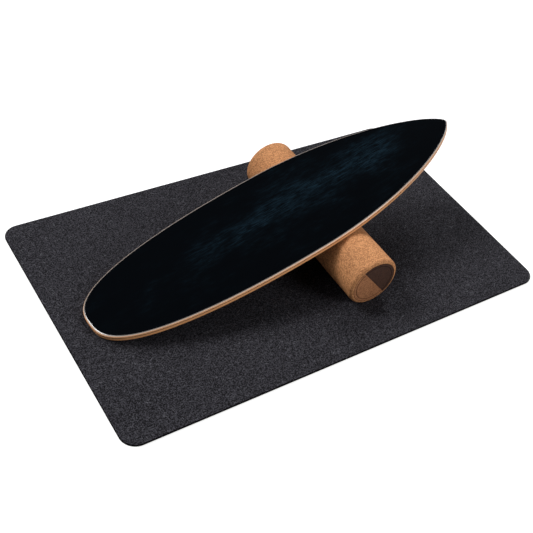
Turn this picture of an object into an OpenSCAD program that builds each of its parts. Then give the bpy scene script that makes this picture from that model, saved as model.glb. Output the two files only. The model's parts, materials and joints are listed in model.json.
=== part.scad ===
// Balance board set: a surfboard-shaped plywood deck leaning over a cork roller on a felt mat.
// X runs along the mat, Y across it and Z up. The origin is the middle of the mat's underside.

/* [Mat] */
// Length of the mat along X
mat_length = 920; // [800:5:1000]
// Width of the mat along Y
mat_width = 560; // [480:5:640]
// Thickness of the felt layer
felt_thickness = 4; // [3:0.5:6]
// Thickness of the non-slip rubber backing
backing_thickness = 1.5; // [1:0.25:3]
// Radius of the mat's corners
mat_corner = 30; // [10:1:60]
// How far the backing stays in from the felt's edge
backing_inset = 0.2; // [0.2:0.1:2]

/* [Roller] */
// Outer diameter of the cork roller
roller_diameter = 108; // [90:1:120]
// Length of the cork roller
roller_length = 388; // [340:2:420]
// Wall of the cork sleeve
cork_wall = 7.5; // [7:0.5:10]
// Rounding of the roller's two end edges
roller_edge = 7; // [3:0.5:8]
// Wall of the tube inside the cork
tube_wall = 5; // [3:0.5:8]
// Thickness of an end cap's face
cap_depth = 16; // [8:1:24]
// Length of the spigot that plugs into the tube
spigot_length = 14; // [8:1:24]
// Thickness of the stiffening rib in the middle of the tube
rib_thickness = 18; // [10:1:30]
// Radius of the ring groove round an end cap
ring_radius = 40.5; // [36:0.5:43]
// Width of the ring groove
ring_width = 1; // [0.6:0.1:2]
// Depth of the ring groove
ring_depth = 0.6; // [0.3:0.1:1]
// Thickness of the half-disc inlay
inlay_depth = 1; // [1:0.25:2]
// Slope of the inlay's straight edge below the horizontal
inlay_slope = 50; // [0:5:90]

/* [Deck] */
// Length of the deck from tail to nose
deck_length = 844; // [780:2:880]
// Greatest width of the deck
deck_width = 235; // [200:1:260]
// Thickness of the deck
deck_thickness = 12; // [10:0.5:15]
// Thickness of the top and bottom face veneers
face_veneer = 1.1; // [0.8:0.1:1.5]
// Number of core plies
core_plies = 7; // [5:2:9]
// Radius of the deck's rounded rim
rim_radius = 3.5; // [2:0.5:5]
// Where the deck is widest, as a share of its length from the tail
widest_at = 0.52; // [0.45:0.01:0.6]
// Exponents of the tail's outline: how flat its side is, and how blunt its end
tail_flat = 2.28; // [2:0.01:2.6]
tail_blunt = 0.36; // [0.3:0.01:0.5]
// Exponents of the nose's outline: how flat its side is, and how blunt its end
nose_flat = 1.88; // [1.6:0.01:2.6]
nose_blunt = 0.68; // [0.6:0.01:0.9]

/* [Stoppers] */
// Length of a stopper bar across the deck
stopper_length = 110; // [80:5:120]
// Width of a stopper bar
stopper_width = 22; // [16:1:30]
// Height of a stopper bar below the deck
stopper_height = 12; // [8:1:16]
// Distance from the deck's tail to the tail stopper's middle
tail_stopper_at = 130; // [110:5:200]
// Distance from the deck's nose to the nose stopper's middle
nose_stopper_at = 115; // [105:5:160]
// Spacing of the screws along a stopper
screw_spacing = 38; // [25:1:42]
// Diameter of the screws' shanks
screw_diameter = 4; // [3:0.5:5]
// How far the screws reach into the deck
screw_reach = 7.5; // [5:0.5:9]

/* [Resting pose] */
// Position of the roller's middle on the mat
roller_x = 91; // [60:1:120]
roller_y = 10; // [-20:1:30]
// Distance along the deck from its tail to the line where it lies on the roller
tail_to_roller = 500; // [460:5:520]
// How far the deck's centre line passes to the back of the roller's middle
deck_offset = 7; // [-20:1:20]
// How far the deck is turned away from square to the roller
deck_turn = 4.2; // [-6:0.1:6]

/* [Hidden] */
CORE_NAMES = [for (i = [1 : core_plies]) str("core_ply_", i)];
$fn = 96;

// Clearance between a curved face and what it rolls on, and of a running fit
gap = 0.3;
running_fit = 0.05;
// Depth by which a cutting shape passes its face
cut = 1;

mat_height = felt_thickness + backing_thickness;
roller_radius = roller_diameter / 2;
bore_radius = roller_radius - cork_wall;
tube_radius = bore_radius - running_fit;
tube_bore = tube_radius - tube_wall;
axis_height = mat_height + gap + roller_radius;
underside = roller_radius + gap;
core_ply = (deck_thickness - 2 * face_veneer) / core_plies;
ply_count = core_plies + 2;
screw_radius = screw_diameter / 2;
screw_head = screw_diameter * 0.95;
screw_head_height = screw_head - screw_radius;
outline_steps = 36;

// Height of the face below ply i, where ply 0 is the bottom veneer
function ply_base(i) = i == 0 ? 0 : i == ply_count ? deck_thickness : face_veneer + (i - 1) * core_ply;

// How far the rounded rim lies in from the widest outline at height z
function rim_inset(z) = let (d = min(z, deck_thickness - z))
    d >= rim_radius ? 0 : rim_radius - sqrt(pow(rim_radius, 2) - pow(rim_radius - d, 2));
function ply_inset(i) = rim_inset((ply_base(i) + ply_base(i + 1)) / 2);

// Half width of the deck, as a share of its greatest, at a share t of its length from the tail
function tail_shape(t) = pow(1 - pow((widest_at - t) / widest_at, tail_flat), tail_blunt);
function nose_shape(t) = pow(1 - pow((t - widest_at) / (1 - widest_at), nose_flat), nose_blunt);
function deck_shape(t) = t < widest_at ? tail_shape(t) : nose_shape(t);

// Stations bunch up towards the two ends, where the outline turns fastest
function station(i) = (1 - cos(180 * i / outline_steps)) / 2;
function rim_point(i, inset, side) = [inset + station(i) * (deck_length - 2 * inset),
    side * deck_shape(station(i)) * (deck_width / 2 - inset)];
function deck_outline(inset) = concat(
    [for (i = [0 : outline_steps]) rim_point(i, inset, -1)],
    [for (i = [outline_steps - 1 : -1 : 1]) rim_point(i, inset, 1)]);

// The deck leans until its tail's lowest edge is a gap above the mat
function reach_to_tail(p) = (tail_to_roller - p[0]) * cos(deck_turn) + p[1] * sin(deck_turn);
tail_reach = max([for (p = deck_outline(ply_inset(0))) reach_to_tail(p)]);
deck_tilt = atan2(underside, tail_reach) + asin(roller_radius / norm([tail_reach, underside]));

// Places children whose Z axis is the roller's, at the roller's middle
module on_roller_axis() {
    translate([roller_x, roller_y, axis_height]) rotate([-90, 0, 0]) children();
}

// Places children drawn in the deck's own frame: X from tail to nose, Z up from its underside
module on_deck() {
    translate([roller_x, roller_y, axis_height]) rotate([0, -deck_tilt, 0])
        translate([0, deck_offset, underside]) rotate([0, 0, deck_turn])
            translate([-tail_to_roller, 0, 0]) children();
}

module rounded_slab(length, width, corner, height) {
    linear_extrude(height) union() {
        square([length - 2 * corner, width], center = true);
        square([length, width - 2 * corner], center = true);
        for (x = [-1, 1], y = [-1, 1])
            translate([x * (length / 2 - corner), y * (width / 2 - corner)]) circle(corner);
    }
}

module mat_felt() {
    color("#3a3b3f") translate([0, 0, backing_thickness])
        rounded_slab(mat_length, mat_width, mat_corner, felt_thickness);
}

module mat_backing() {
    color("#1d1d1f") rounded_slab(mat_length - 2 * backing_inset, mat_width - 2 * backing_inset,
        mat_corner - backing_inset, backing_thickness);
}

// Half of the sleeve's cross-section, with its two rounded end edges
module sleeve_section() {
    arc_steps = 10;
    edge_z = roller_length / 2 - roller_edge;
    arc = [for (i = [0 : arc_steps]) let (a = 90 * i / arc_steps)
        [roller_radius - roller_edge + roller_edge * cos(a), edge_z + roller_edge * sin(a)]];
    mirrored = [for (i = [arc_steps : -1 : 0]) [arc[i][0], -arc[i][1]]];
    polygon(concat([[bore_radius, -roller_length / 2]], mirrored, arc,
        [[bore_radius, roller_length / 2]]));
}

module cork_sleeve() {
    color("#c08a58") on_roller_axis() rotate_extrude() sleeve_section();
}

module core_tube() {
    tube_length = roller_length - 2 * cap_depth - 2 * gap;
    color("#b8a888") on_roller_axis() difference() {
        cylinder(h = tube_length, r = tube_radius, center = true);
        cylinder(h = tube_length + 2 * cut, r = tube_bore, center = true);
    }
}

module core_rib() {
    color("#d8b98a") on_roller_axis()
        cylinder(h = rib_thickness, r = tube_bore - running_fit, center = true);
}

// Half of a disc, drawn upwards from z = 0, with the given radius
module half_disc(radius, height) {
    intersection() {
        cylinder(h = height, r = radius);
        rotate([0, 0, inlay_slope]) translate([-radius, -2 * radius, 0])
            cube([2 * radius, 2 * radius, height]);
    }
}

// The ring groove that is cut into a face at z = 0
module ring_groove() {
    translate([0, 0, -ring_depth]) difference() {
        cylinder(h = ring_depth + cut, r = ring_radius + ring_width / 2);
        translate([0, 0, -cut])
            cylinder(h = ring_depth + 3 * cut, r = ring_radius - ring_width / 2);
    }
}

// An end cap with its face at z = 0 and its spigot below
module end_cap() {
    difference() {
        union() {
            translate([0, 0, -cap_depth]) cylinder(h = cap_depth, r = tube_radius);
            translate([0, 0, -cap_depth - spigot_length])
                cylinder(h = spigot_length + cut, r = tube_bore - running_fit);
        }
        ring_groove();
        translate([0, 0, -inlay_depth]) half_disc(roller_radius, inlay_depth + cut);
    }
}

// A thin half disc of darker cork, let into the cap's face and grooved with it
module inlay() {
    difference() {
        translate([0, 0, -inlay_depth]) half_disc(tube_radius, inlay_depth);
        ring_groove();
    }
}

// Places children at the roller's end that faces the front, or at the back one
module at_front_end() {
    on_roller_axis() mirror([0, 0, 1]) translate([0, 0, roller_length / 2]) children();
}
module at_back_end() {
    on_roller_axis() translate([0, 0, roller_length / 2]) children();
}

module front_end_cap() {
    color("#bb8552") at_front_end() end_cap();
}
module back_end_cap() {
    color("#bb8552") at_back_end() end_cap();
}
module front_inlay() {
    color("#4a3527") at_front_end() inlay();
}
module back_inlay() {
    color("#4a3527") at_back_end() inlay();
}

// Runs children at each screw of the two stoppers, in the deck's frame
module at_screws(x) {
    for (i = [-1 : 1]) translate([x, i * screw_spacing, 0]) children();
}
nose_stopper_x = deck_length - nose_stopper_at;

// One ply of the deck, drilled where a screw's tip reaches it
module deck_ply(i) {
    on_deck() difference() {
        translate([0, 0, ply_base(i)]) linear_extrude(ply_base(i + 1) - ply_base(i))
            polygon(deck_outline(ply_inset(i)));
        if (ply_base(i) < screw_reach) {
            for (x = [tail_stopper_at, nose_stopper_x]) at_screws(x) translate([0, 0, -cut])
                cylinder(h = screw_reach + cut, r = screw_radius + running_fit);
        }
    }
}

module bottom_veneer() {
    color("#c99a68") deck_ply(0);
}
module core_ply_layer(i) {
    color(i % 2 == 0 ? "#e6c497" : "#b97f4b") deck_ply(i);
}
module top_veneer() {
    color("#0f141c") deck_ply(ply_count - 1);
}

// A bar with round ends below the deck, countersunk for its screws
module stopper(x) {
    end_radius = stopper_width / 2;
    on_deck() difference() {
        translate([x, 0, -stopper_height]) linear_extrude(stopper_height) union() {
            square([stopper_width, stopper_length - 2 * end_radius], center = true);
            for (side = [-1, 1])
                translate([0, side * (stopper_length / 2 - end_radius)]) circle(end_radius);
        }
        at_screws(x) translate([0, 0, -stopper_height - cut])
            cylinder(h = stopper_height + 2 * cut, r = screw_radius + running_fit);
        at_screws(x) translate([0, 0, -stopper_height - cut / 2])
            cylinder(h = screw_head_height + cut / 2, r1 = screw_head + running_fit + cut / 2,
                r2 = screw_radius + running_fit);
    }
}

module tail_stopper() {
    color("#1b1b1c") stopper(tail_stopper_at);
}
module nose_stopper() {
    color("#1b1b1c") stopper(nose_stopper_x);
}

// A countersunk screw with a cross recess, head down and flush with the stopper's face
module screw() {
    recess_depth = screw_head_height * 0.7;
    recess_length = screw_head * 1.1;
    recess_width = screw_head * 0.22;
    translate([0, 0, -stopper_height]) difference() {
        union() {
            cylinder(h = stopper_height + screw_reach - gap, r = screw_radius);
            cylinder(h = screw_head_height, r1 = screw_head, r2 = screw_radius);
        }
        for (turn = [0, 90]) rotate([0, 0, turn])
            translate([-recess_length / 2, -recess_width / 2, -cut])
                cube([recess_length, recess_width, recess_depth + cut]);
    }
}

module tail_stopper_screws() {
    color("#b9bcc0") on_deck() at_screws(tail_stopper_at) screw();
}
module nose_stopper_screws() {
    color("#b9bcc0") on_deck() at_screws(nose_stopper_x) screw();
}

mat_felt();
mat_backing();
cork_sleeve();
core_tube();
core_rib();
front_end_cap();
back_end_cap();
front_inlay();
back_inlay();
bottom_veneer();
for (i = [1 : core_plies]) core_ply_layer(i);
top_veneer();
tail_stopper();
nose_stopper();
tail_stopper_screws();
nose_stopper_screws();
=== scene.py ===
# %% [markdown]
# # A balance board, its cork roller and its felt mat
# The set has three things that a person would pick up one by one: a felt mat, a cork roller and a
# plywood deck shaped like a surfboard. The deck lies across the roller with its tail on the mat.
# The hard shapes are already settled by the CAD frame that this script loads. What is made here
# is what the eye judges: soft felt, granular cork, the layered rim of the plywood, stain and
# lacquer.

# %% Load the frame
import json
import math

import bmesh
import bpy
import numpy as np
from mathutils import Matrix, Vector, noise

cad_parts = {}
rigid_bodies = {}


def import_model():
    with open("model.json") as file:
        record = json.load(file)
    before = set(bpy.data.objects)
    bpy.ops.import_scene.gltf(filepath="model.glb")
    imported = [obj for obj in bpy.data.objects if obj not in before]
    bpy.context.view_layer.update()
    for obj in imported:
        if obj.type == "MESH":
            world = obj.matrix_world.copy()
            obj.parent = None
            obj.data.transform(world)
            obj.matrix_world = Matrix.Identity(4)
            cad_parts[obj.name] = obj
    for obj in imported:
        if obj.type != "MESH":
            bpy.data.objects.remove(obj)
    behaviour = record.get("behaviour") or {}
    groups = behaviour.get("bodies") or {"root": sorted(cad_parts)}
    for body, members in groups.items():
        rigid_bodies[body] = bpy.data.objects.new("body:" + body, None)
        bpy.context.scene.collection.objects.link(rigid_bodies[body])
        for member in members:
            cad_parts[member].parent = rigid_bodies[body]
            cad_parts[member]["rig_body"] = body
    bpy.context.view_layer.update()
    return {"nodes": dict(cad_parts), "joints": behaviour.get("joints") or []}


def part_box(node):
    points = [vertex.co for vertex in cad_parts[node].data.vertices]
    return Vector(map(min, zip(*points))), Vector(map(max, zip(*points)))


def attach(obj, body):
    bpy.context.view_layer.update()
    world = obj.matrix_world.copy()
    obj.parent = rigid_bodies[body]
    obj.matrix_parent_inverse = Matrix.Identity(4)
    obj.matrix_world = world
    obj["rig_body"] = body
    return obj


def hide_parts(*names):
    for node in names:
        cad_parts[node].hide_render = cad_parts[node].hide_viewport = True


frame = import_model()
MM = 0.001

# %% [markdown]
# ## Where things are
# Every place is read from the frame. The roller's middle and size come from the box round its
# cork sleeve. The deck leans, so a box says little about it. The sliding joint under it gives the
# slope, and the two stopper bars are centred on the deck's long axis, so the line between them
# gives its direction. From those the script makes two local frames, in which a roller is simply
# round and a deck is simply flat. Pieces modelled in a local frame also get textures that follow
# the grain.

# %% Local frames of the roller and the deck
def box_centre(node):
    """The middle of a CAD node's box."""
    low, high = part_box(node)
    return (low + high) / 2


def axes_matrix(x_axis, y_axis, z_axis, origin):
    """A local frame with these three axes, whose zero is at origin."""
    turn = Matrix((x_axis, y_axis, z_axis)).transposed()
    return Matrix.Translation(origin) @ turn.to_4x4()


def corners_in(node, matrix):
    """The corners of a CAD node's mesh, in a local frame."""
    inverse = matrix.inverted()
    return np.array([inverse @ v.co for v in frame["nodes"][node].data.vertices])


joints = {j["name"]: j for j in frame["joints"]}
roller_middle = box_centre("cork_sleeve")
roller_low, roller_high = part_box("cork_sleeve")
roller_radius = (roller_high.x - roller_low.x) / 2
roller_length = roller_high.y - roller_low.y
roller_frame = axes_matrix((1, 0, 0), (0, 0, -1), (0, 1, 0), roller_middle)

downhill = Vector(joints["deck_roll"]["axis"])
deck_normal = Vector((downhill.z, 0, -downhill.x))
deck_along = (box_centre("nose_stopper") - box_centre("tail_stopper")).normalized()
deck_across = deck_normal.cross(deck_along)
rough_frame = axes_matrix(deck_along, deck_across, deck_normal, box_centre("tail_stopper"))
deck_low = np.concatenate([corners_in(node, rough_frame)
                           for node in ("core_ply_4", "bottom_veneer")]).min(0)
deck_origin = rough_frame @ Vector((deck_low[0], 0, deck_low[2]))
deck_frame = axes_matrix(deck_along, deck_across, deck_normal, deck_origin)
deck_size = np.ptp(corners_in("core_ply_4", deck_frame), axis=0)
deck_length, deck_width = float(deck_size[0]), float(deck_size[1])
deck_thickness = float(corners_in("top_veneer", deck_frame)[:, 2].max())
print("roller radius and length:", round(roller_radius, 4), round(roller_length, 4))
print("deck length, width, thickness:",
      [round(side, 4) for side in (deck_length, deck_width, deck_thickness)])

# %% [markdown]
# ## The camera
# The camera looks down on the set from the front left. It could be placed by its coordinates, but
# angles round a point on the mat are easier to think in: walk this far round the table, look down
# this steeply. It is then rolled a little, so that the set lies aslant in the view, and the small
# sideways shift of the lens brings the set to the middle of the view without turning the camera.

# %% Camera
CAMERA_AIM = Vector((0.030, -0.054, 0))
CAMERA_DISTANCE = 1.779
CAMERA_AZIMUTH = math.radians(41.76)
CAMERA_ELEVATION = math.radians(44.06)
CAMERA_ROLL = math.radians(12.35)
CAMERA_LENS_MM = 60.6
CAMERA_SHIFT = (-0.073, 0.006)


def make_camera():
    """A camera that looks at CAMERA_AIM, CAMERA_DISTANCE metres away from it."""
    back = Vector((-math.sin(CAMERA_AZIMUTH) * math.cos(CAMERA_ELEVATION),
                   -math.cos(CAMERA_AZIMUTH) * math.cos(CAMERA_ELEVATION),
                   math.sin(CAMERA_ELEVATION)))
    upright = back.to_track_quat("Z", "Y").to_matrix().to_4x4()
    lens = bpy.data.cameras.new("camera")
    lens.lens = CAMERA_LENS_MM
    lens.shift_x, lens.shift_y = CAMERA_SHIFT
    camera = bpy.data.objects.new("camera", lens)
    bpy.context.scene.collection.objects.link(camera)
    place = Matrix.Translation(CAMERA_AIM + back * CAMERA_DISTANCE)
    camera.matrix_world = place @ upright @ Matrix.Rotation(CAMERA_ROLL, 4, "Z")
    bpy.context.scene.camera = camera
    return camera


camera = make_camera()
print("camera at", [round(c, 3) for c in camera.matrix_world.translation])

# %% [markdown]
# ## Writing shaders as sums
# A material is a little network of nodes, and dragging wires is slow to write and hard to read.
# The class below wraps one output of a node, so that `1 - mask * 2` makes the Math nodes by
# itself. Every node that is not plain arithmetic comes from its `node` method: its type, then its
# settings, then what goes into its sockets.

# %% The wire class
# A Mix node has a pair of sockets for each kind of value, so its sockets go by number.
MIX_FACTOR, MIX_VECTORS, MIX_COLOURS = 0, (4, 5), (6, 7)
MIX_VECTOR_OUT, MIX_COLOUR_OUT = 1, 2


class Wire:
    """One output of a shader node, which can be added to, multiplied and wired on."""

    def __init__(self, tree, socket):
        self.tree = tree
        self.socket = socket

    def node(self, kind, settings=None, inputs=None, output=0):
        """A new node: its type, its settings, then a value or a wire for each socket."""
        made = self.tree.nodes.new(kind)
        for name, value in (settings or {}).items():
            setattr(made, name, value)
        for name, value in (inputs or {}).items():
            if isinstance(value, Wire):
                self.tree.links.new(value.socket, made.inputs[name])
            else:
                made.inputs[name].default_value = value
        return Wire(self.tree, made.outputs[output])

    def math(self, operation, first, second=0.0):
        """A Math node, which does sums on single numbers."""
        return self.node("ShaderNodeMath", {"operation": operation}, {0: first, 1: second})

    def __add__(self, other):
        return self.math("ADD", self, other)

    def __radd__(self, other):
        return self.math("ADD", other, self)

    def __sub__(self, other):
        return self.math("SUBTRACT", self, other)

    def __rsub__(self, other):
        return self.math("SUBTRACT", other, self)

    def __mul__(self, other):
        return self.math("MULTIPLY", self, other)

    def __rmul__(self, other):
        return self.math("MULTIPLY", other, self)

    def __truediv__(self, other):
        return self.math("DIVIDE", self, other)

    def __rtruediv__(self, other):
        return self.math("DIVIDE", other, self)

    def __pow__(self, other):
        return self.math("POWER", self, other)

    def __rpow__(self, other):
        return self.math("POWER", other, self)

    def sine(self):
        return self.math("SINE", self)

    def stretched(self, x, y, z):
        """A vector with each of its parts multiplied. A part below 1 draws noise out that way."""
        return self.node("ShaderNodeVectorMath", {"operation": "MULTIPLY"}, {0: self, 1: (x, y, z)})

    def part(self, axis):
        """One part of a vector or colour: 0, 1 or 2."""
        return self.node("ShaderNodeSeparateXYZ", None, {0: self}, output=axis)

    def noise(self, size, detail=2.0, roughness=0.5):
        """Cloudy noise whose blobs are about size metres across, from 0 to 1."""
        return self.node("ShaderNodeTexNoise", None, {
            "Vector": self, "Scale": 1 / size, "Detail": detail, "Roughness": roughness})

    def ease(self, low, high):
        """0 below low, 1 above high, and smooth between."""
        return self.node("ShaderNodeMapRange", {"interpolation_type": "SMOOTHSTEP"}, {
            "Value": self, "From Min": low, "From Max": high})

    def blend(self, low_colour, high_colour):
        """A colour between two others. Each is a wire or three numbers."""
        low, high = (colour if isinstance(colour, Wire) else (*colour, 1)
                     for colour in (low_colour, high_colour))
        return self.node("ShaderNodeMix", {"data_type": "RGBA"},
                         {MIX_FACTOR: self, MIX_COLOURS[0]: low, MIX_COLOURS[1]: high},
                         output=MIX_COLOUR_OUT)

    def bump(self, depth, strength):
        """A surface normal from this height, where 1 stands depth metres proud."""
        return self.node("ShaderNodeBump", None, {
            "Height": self, "Distance": depth, "Strength": strength})


def material(name, paint, **fixed):
    """A material. paint takes the object's own coordinates and returns the sockets that vary."""
    made = bpy.data.materials.new(name)
    made.use_nodes = True
    tree = made.node_tree
    shader = tree.nodes["Principled BSDF"]
    place = tree.nodes.new("ShaderNodeTexCoord")
    for socket, wire in paint(Wire(tree, place.outputs["Object"])).items():
        tree.links.new(wire.socket, shader.inputs[socket])
    for socket, value in fixed.items():
        shader.inputs[socket.replace("_", " ")].default_value = value
    return made


print("shader helper ready")

# %% [markdown]
# ## Meshes from lists
# Every piece below is built from lists of points and faces, so one helper turns those lists into
# an object, puts it in its local frame and shades it smooth except at hard edges. A second helper
# takes a hard part of the CAD frame, such as a stopper bar, and softens its edges with a small
# bevel. A real edge is never knife sharp, and the bevel is what catches a thin line of light.

# %% Mesh helpers
HARD_EDGE = math.radians(35)
FLAT_EDGE = math.radians(1)
SAME_POINT = 0.01 * MM
BEVEL_STEPS = 3


def turn_outwards(mesh):
    """Makes every face look outwards, and drops points that no face uses."""
    shell = bmesh.new()
    shell.from_mesh(mesh)
    bmesh.ops.delete(shell, geom=[v for v in shell.verts if not v.link_faces], context="VERTS")
    bmesh.ops.recalc_face_normals(shell, faces=shell.faces)
    shell.to_mesh(mesh)
    shell.free()


def mesh_piece(name, points, faces, place, body, materials, face_materials=None):
    """An object from points and faces, which rides on a body. place is its local frame."""
    mesh = bpy.data.meshes.new(name)
    mesh.from_pydata([tuple(p) for p in points], [], faces)
    mesh.validate()
    for finish in materials:
        mesh.materials.append(finish)
    if face_materials is not None:
        mesh.polygons.foreach_set("material_index", face_materials)
    turn_outwards(mesh)
    mesh.shade_smooth()
    mesh.set_sharp_from_angle(angle=HARD_EDGE)
    piece = bpy.data.objects.new(name, mesh)
    bpy.context.scene.collection.objects.link(piece)
    piece.matrix_world = place
    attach(piece, body)
    return piece


def bevelled_copy(name, node, place, bevel, finish):
    """A copy of a CAD node with its sharp edges rounded, which then replaces the node."""
    source = frame["nodes"][node]
    built = bmesh.new()
    built.from_mesh(source.data)
    bmesh.ops.remove_doubles(built, verts=built.verts, dist=SAME_POINT)
    bmesh.ops.dissolve_limit(built, angle_limit=FLAT_EDGE, verts=built.verts, edges=built.edges)
    built.transform(place.inverted())
    mesh = bpy.data.meshes.new(name)
    built.to_mesh(mesh)
    built.free()
    mesh.materials.clear()
    mesh.materials.append(finish)
    piece = bpy.data.objects.new(name, mesh)
    bpy.context.scene.collection.objects.link(piece)
    piece.matrix_world = place
    soften = piece.modifiers.new("soft edges", "BEVEL")
    soften.width = bevel
    soften.segments = BEVEL_STEPS
    soften.limit_method = "ANGLE"
    soften.angle_limit = HARD_EDGE
    soften.harden_normals = True
    mesh.shade_smooth()
    mesh.set_sharp_from_angle(angle=HARD_EDGE)
    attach(piece, source["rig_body"])
    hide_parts(node)


def ring_faces(rings, around):
    """Quads between closed rings of points that are listed one ring after another."""
    return [(k * around + i, k * around + (i + 1) % around,
             (k + 1) * around + (i + 1) % around, (k + 1) * around + i)
            for k in range(rings - 1) for i in range(around)]


print("mesh helpers ready")

# %% [markdown]
# ## Felt
# Needle-punched felt is a tangle of fibres in several greys. From a step away that reads as soft
# mottling with a few pale hairs. Three sizes of noise give the mottling, from tufts of two or
# three millimetres to broad clouds. The hairs are noise that is stretched in three directions and
# then cut off near its top, so that only thin streaks are left. The sides of the felt are painted
# darker than its top, as painted shade on sides that the lights hardly reach.

# %% Felt finish
FELT_DARK = (0.0040, 0.0038, 0.0050)
FELT_LIGHT = (0.046, 0.0445, 0.0540)
FELT_HAIR = (0.15, 0.15, 0.17)
# Painted shade: the colour of the felt's sides, darker than its top.
FELT_SIDE_SHADE = (0.0035, 0.0033, 0.0042)
TUFT_SIZE, TUFT_SHARE = 2.5 * MM, 5.4
PATCH_SIZE, PATCH_SHARE = 7 * MM, 0.6
CLOUD_SIZE, CLOUD_SHARE = 120 * MM, 0.2
FELT_TONE = 0.40
HAIR_TURNS = (0.3, 1.4, 2.5)
HAIR_SIZE, HAIR_STRETCH, HAIR_STRENGTH = 1.5 * MM, 0.16, 0.45
FUZZ_SIZE, FUZZ_SHARE = 0.8 * MM, 0.6


def felt_tufts(point):
    """The height of the tufts, and how light they are from 0 to 1."""
    tuft = point.noise(TUFT_SIZE, detail=2, roughness=0.7)
    patch = point.noise(PATCH_SIZE, detail=2)
    cloud = point.noise(CLOUD_SIZE, detail=1)
    tone = (tuft - 0.5) * TUFT_SHARE + (patch - 0.5) * PATCH_SHARE + (cloud - 0.5) * CLOUD_SHARE
    return tuft, (tone + FELT_TONE).ease(0.0, 1.0)


def felt_paint(point):
    tuft, tone = felt_tufts(point)
    hair = None
    for turn in HAIR_TURNS:
        along = point.node("ShaderNodeVectorRotate", {"rotation_type": "Z_AXIS"}, {
            "Vector": point, "Angle": turn})
        streak = along.stretched(HAIR_STRETCH, 1, 1).noise(HAIR_SIZE, detail=1).ease(0.66, 0.75)
        hair = streak if hair is None else hair + streak
    colour = (hair * HAIR_STRENGTH).blend(tone.blend(FELT_DARK, FELT_LIGHT), FELT_HAIR)
    height = tuft + point.noise(FUZZ_SIZE, detail=2) * FUZZ_SHARE
    return {"Base Color": colour, "Normal": height.bump(0.5 * MM, 0.6)}


# Painted shade: the felt's sides are coloured darker than its top.
def side_shade_paint(point):
    tuft, tone = felt_tufts(point)
    return {"Base Color": tone.blend(FELT_SIDE_SHADE, FELT_DARK), "Normal": tuft.bump(0.4 * MM, 0.6)}


felt_finish = material("felt", felt_paint, Roughness=0.95, Specular_IOR_Level=0.12,
                       Sheen_Weight=0.03)
# The felt's sides: a darker copy of the felt, as painted shade.
side_shade_finish = material("cut felt", side_shade_paint, Roughness=1.0, Specular_IOR_Level=0.1)
print("felt finishes made")

# %% [markdown]
# ## The mat
# The mat is cut from sheet felt, with its corners rounded by a knife. A flat box would look like
# card. The felt is therefore a fine grid whose surface rises and falls by a tenth of a millimetre
# or so, and whose rim rolls over instead of ending in a corner. To round the corners the grid
# squares in each corner are pulled into a quarter disc, which keeps the mesh even.

# %% Mat shape
felt_low, felt_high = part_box("mat_felt")
felt_half = ((felt_high.x - felt_low.x) / 2, (felt_high.y - felt_low.y) / 2)
FELT_CORNER = 30 * MM
FELT_ROLL = 1.4 * MM
FELT_CELL = 4.5 * MM
# The painted shade on the felt's sides starts this far below the top.
SIDE_SHADE_FROM_TOP = 0.35 * MM
CORNER_CELLS = 7
ROLL_STEPS = 4
BROAD_WAVES, BROAD_HEIGHT = 18, 0.10 * MM
FINE_WAVES, FINE_HEIGHT = 85, 0.09 * MM
FELT_SETTLED = 0.12 * MM


def side_marks(half, corner, cell):
    """Grid marks along one side as (whole part, corner part), each corner part from -1 to 1."""
    straight = half - corner
    count = max(2, round(2 * straight / cell))
    ends = [k / CORNER_CELLS for k in range(1, CORNER_CELLS + 1)]
    marks = [(-1.0, -e) for e in reversed(ends)]
    marks += [(-1 + 2 * k / count, 0.0) for k in range(count + 1)]
    return marks + [(1.0, e) for e in ends]


def slab_point(mark_x, mark_y, half, corner, inset):
    """A grid mark on a rounded rectangle that is inset all round."""
    (whole_x, end_x), (whole_y, end_y) = mark_x, mark_y
    if end_x and end_y:
        shrink = max(abs(end_x), abs(end_y)) / math.hypot(end_x, end_y)
        end_x, end_y = end_x * shrink, end_y * shrink
    return (whole_x * (half[0] - corner) + end_x * (corner - inset),
            whole_y * (half[1] - corner) + end_y * (corner - inset))


def border(columns, rows):
    """Indices of a grid's outer points, anticlockwise."""
    low = [i * rows for i in range(columns)]
    right = [(columns - 1) * rows + j for j in range(1, rows)]
    high = [i * rows + rows - 1 for i in range(columns - 2, -1, -1)]
    left = list(range(rows - 2, 0, -1))
    return low + right + high + left


def soft_slab(half, corner, low, high, cell, roll, ripple):
    """Points and faces of a slab with rounded corners and a rolled top rim."""
    marks_x, marks_y = side_marks(half[0], corner, cell), side_marks(half[1], corner, cell)
    columns, rows = len(marks_x), len(marks_y)
    top = [slab_point(mx, my, half, corner, roll) for mx in marks_x for my in marks_y]
    points = [(x, y, high + ripple(x, y)) for x, y in top]
    faces = [(i * rows + j, (i + 1) * rows + j, (i + 1) * rows + j + 1, i * rows + j + 1)
             for i in range(columns - 1) for j in range(rows - 1)]
    edge = border(columns, rows)
    marks = [(marks_x[k // rows], marks_y[k % rows]) for k in edge]
    levels = [(roll * (1 - math.sin(a)), high - roll * (1 - math.cos(a)))
              for a in (math.pi / 2 * k / ROLL_STEPS for k in range(1, ROLL_STEPS + 1))]
    levels += [(0.0, (high - roll + low) / 2), (0.0, low)]
    previous = edge
    for inset, z in levels:
        start = len(points)
        for mark_x, mark_y in marks:
            x, y = slab_point(mark_x, mark_y, half, corner, inset)
            points.append((x, y, z + (ripple(x, y) if z > low else 0)))
        ring = list(range(start, len(points)))
        faces += [(previous[k], ring[k], ring[(k + 1) % len(ring)], previous[(k + 1) % len(ring)])
                  for k in range(len(ring))]
        previous = ring
    start = len(points)
    points += [(*slab_point(mx, my, half, corner, 0.0), low) for mx in marks_x for my in marks_y]
    inner = {start + k: ring_index for k, ring_index in zip(edge, previous)}
    under = [tuple(start + k for k in face) for face in faces[:(columns - 1) * (rows - 1)]]
    faces += [tuple(inner.get(k, k) for k in reversed(face)) for face in under]
    return points, faces


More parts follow.
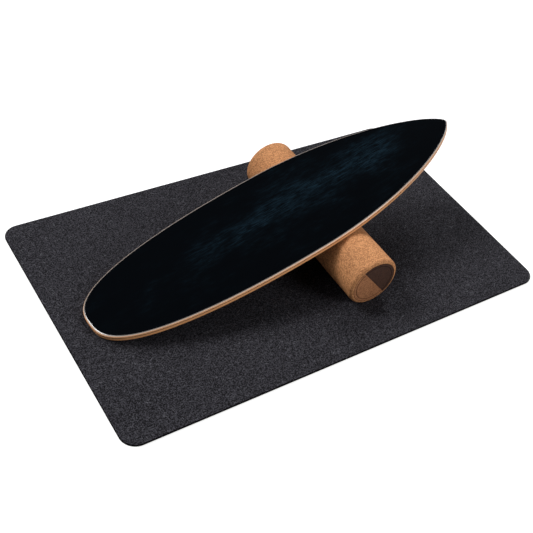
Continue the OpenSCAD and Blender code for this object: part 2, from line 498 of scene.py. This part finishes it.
def felt_ripple(x, y):
    """How far the felt's surface lies above its flat height. Waves are counted per metre."""
    broad = noise.noise(Vector((x * BROAD_WAVES, y * BROAD_WAVES, 0.5)))
    fine = noise.noise(Vector((x * FINE_WAVES, y * FINE_WAVES, 3.5)))
    return BROAD_HEIGHT * broad + FINE_HEIGHT * fine - FELT_SETTLED


def make_felt():
    points, faces = soft_slab(felt_half, FELT_CORNER, felt_low.z, felt_high.z, FELT_CELL, FELT_ROLL,
                              felt_ripple)
    side_shade_below = felt_high.z - SIDE_SHADE_FROM_TOP
    # Faces below that height get the painted side shade.
    in_side_shade = [int(min(points[k][2] for k in face) < side_shade_below) for face in faces]
    felt = mesh_piece("felt", points, faces, Matrix.Identity(4), "mat",
                      [felt_finish, side_shade_finish], in_side_shade)
    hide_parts("mat_felt")
    corners_cut = (4 - math.pi) * FELT_CORNER ** 2
    flat = (2 * felt_half[0], 2 * felt_half[1])
    flat[0] * flat[1] - corners_cut
    return felt


felt = make_felt()
print("felt faces:", len(felt.data.polygons))

# %% [markdown]
# ## The backing
# Under the felt is a thin rubber layer that stops the mat from sliding. Its underside has rows of
# low round studs. A bump in the material would be quicker, but the studs are modelled, because
# they are what a person sees who turns the mat over. One stud is a short list of rings, and it is
# repeated on a staggered grid.

# %% Backing
backing_low, backing_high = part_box("mat_backing")
backing_half = ((backing_high.x - backing_low.x) / 2, (backing_high.y - backing_low.y) / 2)
BACKING_CORNER = 29.8 * MM
BACKING_CELL = 40 * MM
BACKING_ROLL = 0.2 * MM
STUD_PITCH = 16 * MM
STUD_ROW_PITCH = 0.866 * STUD_PITCH
STUD_MARGIN = 12 * MM
STUD_RADIUS = 3.8 * MM
STUD_HEIGHT = 0.6 * MM
STUD_SIDES = 9
STUD_RINGS = [(1.0, 0.0), (0.88, 0.65), (0.55, 1.0)]
RUBBER_DARK = (0.25, 0.225, 0.200)
RUBBER_LIGHT = (0.36, 0.330, 0.295)


def rubber_paint(point):
    tone = point.noise(1.5 * MM, detail=3)
    return {"Base Color": tone.blend(RUBBER_DARK, RUBBER_LIGHT),
            "Normal": tone.bump(0.15 * MM, 0.5)}


def stud(x, y, top, first):
    """Points and faces of one stud that hangs below top. Its points are numbered from first."""
    points = [(x + STUD_RADIUS * r * math.cos(2 * math.pi * k / STUD_SIDES),
               y + STUD_RADIUS * r * math.sin(2 * math.pi * k / STUD_SIDES),
               top - STUD_HEIGHT * d) for r, d in STUD_RINGS for k in range(STUD_SIDES)]
    faces = [tuple(first + k for k in reversed(face))
             for face in ring_faces(len(STUD_RINGS), STUD_SIDES)]
    last = first + (len(STUD_RINGS) - 1) * STUD_SIDES
    faces.append(tuple(last + k for k in reversed(range(STUD_SIDES))))
    faces.append(tuple(first + k for k in range(STUD_SIDES)))
    return points, faces


def make_backing():
    floor_of_slab = backing_low.z + STUD_HEIGHT
    points, faces = soft_slab(backing_half, BACKING_CORNER, floor_of_slab, backing_high.z,
                              BACKING_CELL, BACKING_ROLL, lambda x, y: 0.0)
    rows = int(2 * (backing_half[1] - STUD_MARGIN) / STUD_ROW_PITCH)
    for row in range(rows + 1):
        y = -backing_half[1] + STUD_MARGIN + row * STUD_ROW_PITCH
        x = -backing_half[0] + STUD_MARGIN + (0 if row % 2 else STUD_PITCH / 2)
        while x < backing_half[0] - STUD_MARGIN:
            stud_points, stud_faces = stud(x, y, floor_of_slab, len(points))
            points += stud_points
            faces += stud_faces
            x += STUD_PITCH
    rubber = material("backing rubber", rubber_paint, Roughness=0.85, Specular_IOR_Level=0.3)
    backing = mesh_piece("backing", points, faces, Matrix.Identity(4), "mat",
                         [rubber])
    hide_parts("mat_backing")
    return backing


backing = make_backing()
print("backing faces:", len(backing.data.polygons))

# %% [markdown]
# ## Cork
# The roller is pressed cork: crumbs of bark, one to four millimetres across, glued and sanded.
# Each crumb has its own tan, a few are dark bark, and the joints between them are a little lower.
# Voronoi cells are exactly such crumbs. Their random colour picks the tan, and the distance to a
# cell's edge sinks the joints. A little noise bends the point first, or the crumbs would have
# straight sides. The coordinates are solid, so the crumbs run on over the rounded rim. Natural
# and dark cork differ in colour and gloss only, and so do their darker copies that carry painted
# shade: one for the caps' end faces, and one for grooves, rims and joints.

# %% Cork finish
BARK = (0.190, 0.075, 0.030)
CRUMBS_PER_METRE = 520.0
WANDER_PER_METRE = 500.0
WANDER_SHARE = 0.0008
SPECK_STRENGTH, SEAM_STRENGTH = 0.55, 0.22
MOTTLE_SIZE, MOTTLE_SHARE = 9 * MM, 0.5
POWDER_SIZE, POWDER_SHARE = 0.7 * MM, 0.4


def cork_paint(light, mid, dark):
    """Paint for cork with light and middling crumbs, and with dark joints and specks of bark."""
    def paint(point):
        wander = point.node("ShaderNodeTexNoise", None, {
            "Vector": point, "Scale": WANDER_PER_METRE}, output=1)
        bent = point.node("ShaderNodeMix", {"data_type": "VECTOR"}, {
            MIX_FACTOR: WANDER_SHARE, MIX_VECTORS[0]: point, MIX_VECTORS[1]: wander},
            output=MIX_VECTOR_OUT)
        crumbs = {"Vector": bent, "Scale": CRUMBS_PER_METRE}
        crumb = bent.node("ShaderNodeTexVoronoi", {"feature": "F1"}, crumbs, output=1)
        joint = bent.node("ShaderNodeTexVoronoi", {"feature": "DISTANCE_TO_EDGE"}, crumbs)
        pick = crumb.part(0)
        speck = crumb.part(1).ease(0.91, 0.96)
        mottle = point.noise(MOTTLE_SIZE, detail=2)
        tone = (pick * 0.9 + mottle * MOTTLE_SHARE - 0.1).ease(0.15, 1.0)
        seam = 1 - joint.ease(0.0, 0.09)
        colour = (speck * SPECK_STRENGTH + seam * SEAM_STRENGTH).blend(tone.blend(mid, light), dark)
        powder = point.noise(POWDER_SIZE, detail=2)
        height = joint.ease(0.0, 0.12) * 0.6 + powder * POWDER_SHARE
        rough = 0.70 + pick * 0.15
        return {"Base Color": colour, "Roughness": rough, "Normal": height.bump(0.35 * MM, 0.5)}
    return paint


def cork(name, light, mid, dark, gloss):
    return material(name, cork_paint(light, mid, dark), Specular_IOR_Level=gloss)


cork_finish = cork("cork", (0.700, 0.335, 0.145), (0.430, 0.180, 0.070), BARK, 0.25)
# Painted shade: the caps' cork is a darker copy of the sleeve's, for end faces the lights reach
# less.
cap_shade_finish = cork("cap cork", (0.500, 0.225, 0.105), (0.330, 0.140, 0.064), BARK, 0.2)
dark_finish = cork("dark cork", (0.090, 0.042, 0.028), (0.055, 0.027, 0.019),
                   (0.015, 0.009, 0.007), 0.2)
# Painted shade: darker copies for the grooves, the caps' rims and the sleeve's lip where it meets a
# cap.
crease_shade_finish = cork("burnt cork", (0.150, 0.060, 0.029), (0.095, 0.038, 0.019),
                    (0.060, 0.024, 0.012), 0.1)
dark_crease_shade_finish = cork("singed dark cork", (0.040, 0.020, 0.014), (0.025, 0.013, 0.009),
                     (0.010, 0.005, 0.004), 0.1)
print("cork finishes made")

# %% [markdown]
# ## The roller
# A roller is turned on a lathe, so it is built the same way here: a short list of radii and
# heights is spun round the axis. Sanded cork is never quite even, so each point is sunk by up to
# a tenth of a millimetre, and a scatter of small pits is pressed in where a crumb has broken out.

# %% Roller sleeve
SLEEVE_AROUND = 220
SLEEVE_STEP = 2.4 * MM
SLEEVE_EDGE = 7 * MM
SLEEVE_WALL = 7.5 * MM
BORE_SOFT = 0.45 * MM
EDGE_STEPS = 9
SANDING_DEPTH = 0.05 * MM
SANDING_WAVES = 120
PIT_COUNT = 260
PIT_DEPTH = 0.35 * MM
PIT_SMALLEST, PIT_LARGEST = 1.2 * MM, 2.6 * MM
PIT_SEED = 7


def sleeve_profile():
    """Radius and height of each ring, from one end's bore over the outside to the other end's."""
    end = roller_length / 2
    straight = end - SLEEVE_EDGE
    steps = round(2 * straight / SLEEVE_STEP)
    bore = roller_radius - SLEEVE_WALL
    arc = [(roller_radius - SLEEVE_EDGE * (1 - math.cos(a)), straight + SLEEVE_EDGE * math.sin(a))
           for a in (math.pi / 2 * k / EDGE_STEPS for k in range(EDGE_STEPS, 0, -1))]
    outside = [(roller_radius, straight - 2 * straight * k / steps) for k in range(steps + 1)]
    lip = [(bore, end - BORE_SOFT), (bore + 0.3 * BORE_SOFT, end - 0.3 * BORE_SOFT),
           (bore + BORE_SOFT, end)]
    upper = lip + arc
    lower = [(r, -h) for r, h in reversed(upper)]
    return upper + outside + lower


def pits():
    """Place and size of each pit, one row for each."""
    rng = np.random.default_rng(PIT_SEED)
    turn = rng.uniform(0, 2 * math.pi, PIT_COUNT)
    height = rng.uniform(-roller_length / 2, roller_length / 2, PIT_COUNT)
    return np.stack([roller_radius * np.cos(turn), roller_radius * np.sin(turn), height,
                     rng.uniform(PIT_SMALLEST, PIT_LARGEST, PIT_COUNT)], axis=1)


def make_sleeve():
    profile = sleeve_profile()
    turns = [2 * math.pi * k / SLEEVE_AROUND for k in range(SLEEVE_AROUND)]
    points = np.array([(r * math.cos(a), r * math.sin(a), h) for r, h in profile for a in turns])
    outward = points * (1, 1, 0) / np.linalg.norm(points[:, :2], axis=1)[:, None]
    sink = np.array([SANDING_DEPTH * (1 + noise.noise(Vector(p) * SANDING_WAVES)) for p in points])
    for x, y, h, size in pits():
        near = np.linalg.norm(points - (x, y, h), axis=1) / size
        sink += PIT_DEPTH * np.clip(1 - near ** 2, 0, 1)
    on_outside = np.linalg.norm(points[:, :2], axis=1) > roller_radius - SLEEVE_EDGE
    points -= outward * (sink * on_outside)[:, None]
    faces = ring_faces(len(profile), SLEEVE_AROUND)
    last = (len(profile) - 1) * SLEEVE_AROUND
    faces += [(last + i, last + (i + 1) % SLEEVE_AROUND, (i + 1) % SLEEVE_AROUND, i)
              for i in range(SLEEVE_AROUND)]
    # Painted shade: the lip round the bore gets the darker crease finish, where the sleeve meets
    # the cap.
    lip_rings = (0, 1, len(profile) - 3, len(profile) - 2)
    in_shade = [int(k // SLEEVE_AROUND in lip_rings) for k in range(len(faces))]
    sleeve = mesh_piece("sleeve", points, faces, roller_frame, "roller",
                        [cork_finish, crease_shade_finish], in_shade)
    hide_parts("cork_sleeve")
    return sleeve


sleeve = make_sleeve()
print("sleeve faces:", len(sleeve.data.polygons))

# %% [markdown]
# ## End caps
# A disc of cork plugs each end. Its face is made of two half discs, one of natural cork and one
# of dark cork, and a fine ring groove runs through both. The natural cork of the caps is painted
# darker than the sleeve's, as painted shade on the end faces. Each half is a lathe shape that
# stops after half a turn and is closed along the cut. The rims are rounded by a fraction of a
# millimetre and the halves stand a hair apart, because those thin dark joints are what shows
# where one piece ends. The groove and the rims are painted darker, as painted shade in the
# groove and the joints.

# %% Cap sizes
cap_low, cap_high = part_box("front_end_cap")
cap_radius = (cap_high.x - cap_low.x) / 2
cap_heights = corners_in("front_end_cap", roller_frame)[:, 2]
cap_face = -float(cap_heights.min())
CAP_DEPTH = 16 * MM
TUBE_WALL, SPIGOT_FIT = 5 * MM, 0.05 * MM
spigot_radius = cap_radius - TUBE_WALL - SPIGOT_FIT
spigot_length = float(np.ptp(cap_heights)) - CAP_DEPTH
HALF_DEPTH = 1.0 * MM
HALF_GAP = 0.12 * MM
DARK_TOWARDS = math.radians(40)
HALF_STEPS = 90
INNER_RINGS = (0.33, 0.66)
GROOVE_RADIUS = 40.5 * MM
GROOVE_HALF, GROOVE_FLOOR = 0.5 * MM, 0.35 * MM
GROOVE_DEPTH = 0.6 * MM
LIP_WIDTH, LIP_DEPTH = 0.2 * MM, 0.15 * MM
RIM_SOFT = 0.4 * MM
RIM_STEPS = 4
print("cap radius and face:", round(cap_radius, 4), round(cap_face, 4))
print("spigot radius and length:", round(spigot_radius, 4), round(spigot_length, 4))

# %% Cap shapes
def half_profile():
    """Radius and height from the middle of the face out to the rim, and a painted shade mark per
    strip.
    """
    edge = cap_radius - HALF_GAP
    inner = [(share * edge, 0.0) for share in INNER_RINGS]
    near_side = [(GROOVE_HALF + LIP_WIDTH, 0.0), (GROOVE_HALF, -LIP_DEPTH),
                 (GROOVE_FLOOR, -GROOVE_DEPTH)]
    groove = [(GROOVE_RADIUS - away, h) for away, h in near_side]
    groove += [(GROOVE_RADIUS + away, h) for away, h in reversed(near_side)]
    rim = [(edge - RIM_SOFT * (1 - math.sin(a)), -RIM_SOFT * (1 - math.cos(a)))
           for a in (math.pi / 2 * k / RIM_STEPS for k in range(RIM_STEPS + 1))]
    in_shade = [0] * len(inner) + [1] * (len(groove) - 1) + [0] + [1] * len(rim)
    return inner + groove + rim + [(edge, -HALF_DEPTH)], in_shade


def half_disc(middle):
    """A half disc whose middle points the way of the angle. Its faces with painted shade are marked
    with a 1.
    """
    profile, in_shade = half_profile()
    start = middle - math.pi / 2
    turns = [start + math.pi * k / HALF_STEPS for k in range(HALF_STEPS + 1)]
    push = (HALF_GAP * math.cos(middle), HALF_GAP * math.sin(middle))
    points = [(push[0], push[1], 0.0), (push[0], push[1], -HALF_DEPTH)]
    points += [(r * math.cos(a) + push[0], r * math.sin(a) + push[1], h)
               for a in turns for r, h in profile]
    count = len(profile)

    def at(step, ring):
        return 2 + step * count + ring

    faces, marks = [], []
    for k in range(HALF_STEPS):
        faces += [(at(k, i), at(k, i + 1), at(k + 1, i + 1), at(k + 1, i))
                  for i in range(count - 1)]
        faces.append((0, at(k, 0), at(k + 1, 0)))
        faces.append((1, at(k + 1, count - 1), at(k, count - 1)))
        marks += in_shade + [0, 0]
    faces.append((0, 1, *(at(0, i) for i in reversed(range(count)))))
    faces.append((1, 0, *(at(HALF_STEPS, i) for i in range(count))))
    return points, faces, marks + [1, 1]


def plug():
    """The body of a cap, whose top lies under the two half discs, with the spigot below it."""
    profile = [(cap_radius, -HALF_DEPTH), (cap_radius, -CAP_DEPTH), (spigot_radius, -CAP_DEPTH),
               (spigot_radius, -CAP_DEPTH - spigot_length)]
    around = 2 * HALF_STEPS
    turns = [2 * math.pi * k / around for k in range(around)]
    points = [(r * math.cos(a), r * math.sin(a), h) for r, h in profile for a in turns]
    faces = [tuple(reversed(face)) for face in ring_faces(len(profile), around)]
    faces.append(tuple(range(around)))
    faces.append(tuple((len(profile) - 1) * around + k for k in reversed(range(around))))
    return points, faces


def make_cap(side, facing):
    """facing is -1 for the front end of the roller and 1 for the back end."""
    turn = Matrix.Rotation(math.pi, 4, "X") if facing < 0 else Matrix.Identity(4)
    end = roller_frame @ Matrix.Translation((0, 0, facing * cap_face)) @ turn
    dark_middle = -facing * DARK_TOWARDS
    body_points, body_faces = plug()
    light_points, light_faces, light_in_shade = half_disc(dark_middle + math.pi)
    shift = len(body_points)
    cap = mesh_piece(side + "_cap", body_points + light_points,
                     body_faces + [tuple(k + shift for k in face) for face in light_faces],
                     end, "roller", [cap_shade_finish, crease_shade_finish],
                     [0] * len(body_faces) + light_in_shade)
    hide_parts(side + "_end_cap")
    dark_points, dark_faces, dark_in_shade = half_disc(dark_middle)
    dark = mesh_piece(side + "_half_disc", dark_points, dark_faces, end, "roller",
                      [dark_finish, dark_crease_shade_finish], dark_in_shade)
    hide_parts(side + "_inlay")


make_cap("front", -1)
make_cap("back", 1)
print("caps made")

# %% [markdown]
# ## The parts inside
# The plastic tube that carries the cork, and the plywood rib that keeps the tube round, are exact
# in the frame already. Nobody sees them until the roller is taken apart, so they get softer edges
# and a finish and nothing else.

# %% Tube and rib
INSIDE_BEVEL = 0.4 * MM
PLASTIC_DULL, PLASTIC_CLEAN = (0.56, 0.54, 0.49), (0.64, 0.62, 0.57)
SAWN_DARK, SAWN_LIGHT = (0.50, 0.33, 0.18), (0.70, 0.50, 0.30)


def plastic_paint(point):
    tone = point.noise(20 * MM, detail=3)
    return {"Base Color": tone.blend(PLASTIC_DULL, PLASTIC_CLEAN),
            "Normal": tone.bump(0.05 * MM, 0.4)}


def sawn_paint(point):
    grain = point.stretched(1, 0.08, 1).noise(1.6 * MM, detail=3)
    return {"Base Color": grain.blend(SAWN_DARK, SAWN_LIGHT),
            "Normal": grain.bump(0.1 * MM, 0.6)}


tube_finish = material("tube plastic", plastic_paint, Roughness=0.5)
rib_finish = material("sawn plywood", sawn_paint, Roughness=0.7)
bevelled_copy("tube", "core_tube", roller_frame, INSIDE_BEVEL, tube_finish)
bevelled_copy("rib", "core_rib", roller_frame, INSIDE_BEVEL, rib_finish)
print("tube and rib done")

# %% [markdown]
# ## Wood
# The deck is plywood, and its rim shows the plies as fine stripes. Plies that run lengthwise are
# pale and silky, plies that run across show their darker end grain, and one ply under the top is
# of a brown wood. The top is stained blue-black with hardly any gloss. The grain still shows
# through the stain as thin streaks along the deck, with a bluer band where the wood took less
# colour, and the stain fades out round the rim where it was sanded. The bare wood there is painted
# a pale cream, which is partly its own colour and partly a painted highlight along the rim. The
# underside is bare lacquered birch. Each of these is made from noise, which is drawn out wherever
# the wood shows the length of its grain.

# %% Wood finishes
STAIN_DARK = (0.0011, 0.0017, 0.0026)
STAIN_BLUE = (0.0070, 0.0180, 0.0280)
SANDED_EDGE = (0.100, 0.092, 0.088)
# Painted highlight: the rim's bare wood is painted paler than it is, as the highlight along the
# rim.
BARE_WOOD_AND_HIGHLIGHT = (0.960, 0.740, 0.580)
RIM_FADE_DEPTH = 0.95 * MM
BAND_SLANT, BAND_SIDE, BAND_WIDTH = 0.08, 0.07, 0.16
BAND_STARTS, BAND_ENDS = (0.10, 0.50), (0.76, 1.0)
SANDED_GRAIN = 0.8 * MM
LENGTHWISE, CROSSWISE = (0.05, 0.05, 1), (1, 1, 1)
SHADE_SIZE = 45 * MM
RING_BEND, RINGS_ACROSS = 26, 40
BIRCH_DEEP, BIRCH_PALE = (0.44, 0.26, 0.13), (0.70, 0.49, 0.29)


def stain_paint(point):
    """Stain on the flat face. along runs from 0 at the tail to 1 at the nose."""
    along = point.part(0) / deck_length
    across = point.part(1) / deck_width
    drift = across - (along - 0.5) * BAND_SLANT - BAND_SIDE
    band = 1 / (1 + (drift / BAND_WIDTH) ** 2)
    reach = along.ease(*BAND_STARTS) * (1 - along.ease(*BAND_ENDS))
    broad = point.stretched(0.45, 1, 1).noise(34 * MM, detail=3, roughness=0.6)
    streak = point.stretched(0.09, 1, 1).noise(1.9 * MM, detail=4, roughness=0.75)
    fine = point.stretched(0.04, 1, 1).noise(0.9 * MM, detail=2)
    cloud = (band * reach * 0.75 + (broad - 0.5) * 1.3 + 0.05).ease(0.0, 1.1)
    mask = (cloud + 0.06) * (streak * 5.5 - 2.1) + (fine - 0.5) * 0.12
    height = streak * 0.5 + fine * 0.5
    return {"Base Color": mask.ease(0.0, 1.3).blend(STAIN_DARK, STAIN_BLUE),
            "Roughness": 0.6 + streak * 0.2,
            "Normal": height.bump(0.06 * MM, 0.35)}


def sanded_and_highlight_paint(point):
    """The top veneer's rounded rim: sanding fades the stain out, and the pale end is painted
    highlight.
    """
    depth = (deck_thickness - point.part(2)) / RIM_FADE_DEPTH
    grain = point.stretched(*LENGTHWISE).noise(SANDED_GRAIN, detail=3)
    bare_and_highlight = (depth + (grain - 0.5) * 0.25).ease(0.0, 1.0)
    return {"Base Color": bare_and_highlight.blend(SANDED_EDGE, BARE_WOOD_AND_HIGHLIGHT)}


def ply_paint(pale, deep, stretch, size):
    """Paint for a ply's edge: grain of this size and stretch, in broad soft shades."""
    def paint(point):
        grain = point.stretched(*stretch).noise(size, detail=3, roughness=0.65)
        shade = point.noise(SHADE_SIZE, detail=2)
        tone = (grain * 0.8 + shade * 0.4 - 0.1).ease(0.2, 0.8)
        return {"Base Color": tone.blend(deep, pale), "Normal": grain.bump(0.08 * MM, 0.5)}
    return paint


def birch_paint(point):
    """Birch veneer: wavy year rings, which are the sine of a bent coordinate, and fine pores."""
    bend = point.stretched(0.12, 1, 1).noise(60 * MM, detail=2)
    rings = (bend * RING_BEND + point.part(1) * RINGS_ACROSS).sine()
    pores = point.stretched(0.03, 1, 1).noise(1.2 * MM, detail=3, roughness=0.7)
    tone = (rings * 0.18 + pores * 0.7 + 0.15).ease(0.1, 1.0)
    return {"Base Color": tone.blend(BIRCH_DEEP, BIRCH_PALE), "Normal": pores.bump(0.05 * MM, 0.5)}


LACQUER = {"Roughness": 0.38, "Coat_Weight": 0.35, "Coat_Roughness": 0.25}


def ply(name, pale, deep, stretch, size):
    return material(name, ply_paint(pale, deep, stretch, size), **LACQUER)


stained_finish = material("stained veneer", stain_paint, Specular_IOR_Level=0.008)
# The rim's finish: stain fading to bare wood, with a painted highlight in its pale end.
sanded_and_highlight_finish = material("sanded rim", sanded_and_highlight_paint, Roughness=0.3, Coat_Weight=1.0,
                         Coat_Roughness=0.18)
pale_finish = ply("pale ply", (0.95, 0.51, 0.26), (0.84, 0.41, 0.20), LENGTHWISE, 0.8 * MM)
long_finish = ply("lengthwise ply", (0.98, 0.50, 0.22), (0.88, 0.41, 0.17), LENGTHWISE, 0.6 * MM)
cross_finish = ply("crosswise ply", (0.95, 0.46, 0.20), (0.78, 0.35, 0.14), CROSSWISE, 0.9 * MM)
brown_finish = ply("brown ply", (0.130, 0.042, 0.013), (0.080, 0.025, 0.008), CROSSWISE, 0.9 * MM)
birch_finish = material("birch veneer", birch_paint, **LACQUER)
print("wood finishes made")

# %% [markdown]
# ## The deck
# The outline is the same formula as in the frame: a blunt round tail and a pointed nose, joined
# at the widest place. Each ply is one closed band that follows this outline, and the rim is
# rounded over all of them together. So the radius is worked out from a point's height in the
# whole deck, and every ply takes its own share of the curve. The top veneer keeps its stain only
# on the flat face, because the rim was sanded after staining.

# %% Deck outline
WIDEST_AT = 0.52
TAIL_FLAT, TAIL_BLUNT = 2.28, 0.36
NOSE_FLAT, NOSE_BLUNT = 1.88, 0.68
RIM_RADIUS = 3.5 * MM
UNDER_RADIUS = 1.5 * MM
OUTLINE_STEPS = 120
CURVED_STEPS, STRAIGHT_STEPS = 6, 2


def half_width(t):
    """Half width of the deck as a share of its greatest, at a share t of its length."""
    if t < WIDEST_AT:
        return (1 - ((WIDEST_AT - t) / WIDEST_AT) ** TAIL_FLAT) ** TAIL_BLUNT
    return max(0.0, 1 - ((t - WIDEST_AT) / (1 - WIDEST_AT)) ** NOSE_FLAT) ** NOSE_BLUNT


STATIONS = [(1 - math.cos(math.pi * k / OUTLINE_STEPS)) / 2 for k in range(OUTLINE_STEPS + 1)]
RIM = [(t, -1) for t in STATIONS] + [(t, 1) for t in reversed(STATIONS[1:-1])]


def rim_inset(z):
    """How far the rim lies in at height z. The top edge is rounded more than the bottom one."""
    from_top, from_bottom = max(0.0, deck_thickness - z), max(0.0, z)
    top, under = (from_top, RIM_RADIUS), (from_bottom, UNDER_RADIUS)
    depth, radius = top if from_top <= from_bottom else under
    if depth >= radius:
        return 0.0
    return radius - math.sqrt(radius ** 2 - (radius - depth) ** 2)


def deck_ring(z):
    """The deck's outline at height z."""
    inset = rim_inset(z)
    length, half = deck_length - 2 * inset, deck_width / 2 - inset
    return [(inset + t * length, side * half_width(t) * half, z) for t, side in RIM]


def ply_heights(low, high):
    """Heights of a ply's rings, closer together where the rim curves."""
    steps = CURVED_STEPS if rim_inset((low + high) / 2) > 0 else STRAIGHT_STEPS
    return [low + (high - low) * k / steps for k in range(steps + 1)]


def make_ply(name, node, finishes, top_face=0):
    """One ply. top_face is the number of the finish on its top; the rest has the first finish."""
    heights = corners_in(node, deck_frame)[:, 2]
    levels = ply_heights(float(heights.min()), float(heights.max()))
    points = [p for z in levels for p in deck_ring(z)]
    around = len(RIM)
    faces = ring_faces(len(levels), around)
    faces.append(tuple(reversed(range(around))))
    marks = [0] * len(faces)
    faces.append(tuple((len(levels) - 1) * around + k for k in range(around)))
    marks.append(top_face)
    piece = mesh_piece(name, points, faces, deck_frame, "deck", finishes, marks)
    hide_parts(node)


CORE_PLIES = 7
CORE_FINISHES = {7: pale_finish, 6: pale_finish, 5: brown_finish, 4: long_finish, 2: long_finish}
make_ply("bottom_ply", "bottom_veneer", [birch_finish])
for number in range(1, CORE_PLIES + 1):
    make_ply(f"ply_{number}", f"core_ply_{number}", [CORE_FINISHES.get(number, cross_finish)])
make_ply("top_ply", "top_veneer", [sanded_and_highlight_finish, stained_finish], top_face=1)
print("plies made:", CORE_PLIES + 2)

# %% [markdown]
# ## Stoppers and screws
# Two rubber bars under the deck keep the roller from running out. Their shape and their
# countersunk holes are in the frame already. They get rounded edges, and the screws a zinc
# finish.

# %% Stoppers and screws
BAR_BEVEL, SCREW_BEVEL = 1.2 * MM, 0.15 * MM
RUBBER_BLACK, RUBBER_DUSTY = (0.012, 0.012, 0.013), (0.024, 0.024, 0.026)
ZINC_DULL, ZINC_BRIGHT = (0.48, 0.49, 0.50), (0.66, 0.67, 0.68)


def stopper_paint(point):
    tone = point.noise(1.2 * MM, detail=3)
    return {"Base Color": tone.blend(RUBBER_BLACK, RUBBER_DUSTY),
            "Normal": tone.bump(0.12 * MM, 0.5)}


def zinc_paint(point):
    tone = point.noise(0.6 * MM, detail=3)
    return {"Base Color": tone.blend(ZINC_DULL, ZINC_BRIGHT), "Roughness": 0.25 + tone * 0.2}


stopper_finish = material("stopper rubber", stopper_paint, Roughness=0.7, Specular_IOR_Level=0.35)
zinc_finish = material("zinc", zinc_paint, Metallic=1.0)
for end in ("tail", "nose"):
    bevelled_copy(end + "_bar", end + "_stopper", deck_frame, BAR_BEVEL,
                  stopper_finish)
    bevelled_copy(end + "_screws", end + "_stopper_screws", deck_frame, SCREW_BEVEL,
                  zinc_finish)
print("stoppers and screws done")

# %% [markdown]
# ## Floor and light
# The set stands on a plain white floor, as in a catalogue. Two large soft lights hang behind it,
# left and right, so that shadows fall softly towards the viewer. A weak one hangs on the left,
# and a lower one in front lifts the rim and the end cap. The sky gives very little light, which
# keeps the shadow under the deck deep. A floor that is really white would throw much light back
# up, so this one is grey paper with a white glow that only the camera sees.

# %% Floor, lights and sky
FLOOR_HALF = 8.0
FLOOR_GLOW = 0.80
FLOOR_GREYS = (0.49, 0.49, 0.49), (0.51, 0.51, 0.51)
FLOOR_CLOUDS = 0.5
BLACK, WHITE = (0, 0, 0), (1, 1, 1)
SKY_SEEN, SKY_LIGHT = 1.1, 0.04
# Each light's place in metres, the side of its square in metres, and its power in watts.
LIGHTS = {"back left": ((-5.0, 4.8, 7.2), 3.8, 710), "back right": ((5.0, 5.0, 7.2), 3.8, 495),
          "left": ((-7.0, 0.0, 7.2), 4.4, 75), "front fill": ((4.9, -7.0, 4.3), 4.4, 400)}


def floor_paint(point):
    """Pale paper. Its glow is seen by the camera but casts no light on the set."""
    seen = point.node("ShaderNodeLightPath")
    return {"Base Color": point.noise(FLOOR_CLOUDS).blend(*FLOOR_GREYS),
            "Emission Color": seen.blend(BLACK, WHITE)}


def make_floor():
    corners = [(-FLOOR_HALF, -FLOOR_HALF, 0), (FLOOR_HALF, -FLOOR_HALF, 0),
               (FLOOR_HALF, FLOOR_HALF, 0), (-FLOOR_HALF, FLOOR_HALF, 0)]
    mesh = bpy.data.meshes.new("floor")
    mesh.from_pydata(corners, [], [(0, 1, 2, 3)])
    white = material("floor white", floor_paint, Roughness=0.9, Specular_IOR_Level=0.1,
                     Emission_Strength=FLOOR_GLOW)
    mesh.materials.append(white)
    floor = bpy.data.objects.new("floor", mesh)
    bpy.context.scene.collection.objects.link(floor)


def softbox(name, place, side, watts):
    """A square soft light that shines at the middle of the mat."""
    light = bpy.data.lights.new(name, "AREA")
    light.shape = "SQUARE"
    light.size = side
    light.energy = watts
    lamp = bpy.data.objects.new(name, light)
    lamp.location = place
    lamp.rotation_euler = (-Vector(place)).to_track_quat("-Z", "Y").to_euler()
    bpy.context.scene.collection.objects.link(lamp)


def make_sky():
    """A white sky that lights things only faintly, but looks white itself."""
    sky = bpy.data.worlds.new("sky")
    sky.use_nodes = True
    tree = sky.node_tree
    background = tree.nodes["Background"]
    background.inputs["Color"].default_value = (*WHITE, 1)
    seen = Wire(tree, tree.nodes.new("ShaderNodeLightPath").outputs["Is Camera Ray"])
    strength = seen * (SKY_SEEN - SKY_LIGHT) + SKY_LIGHT
    tree.links.new(strength.socket, background.inputs["Strength"])
    bpy.context.scene.world = sky


make_floor()
for name, (place, side, watts) in LIGHTS.items():
    softbox(name, place, side, watts)
make_sky()
bpy.context.scene.view_settings.view_transform = "Standard"
print("floor, sky and lights:", ", ".join(LIGHTS))
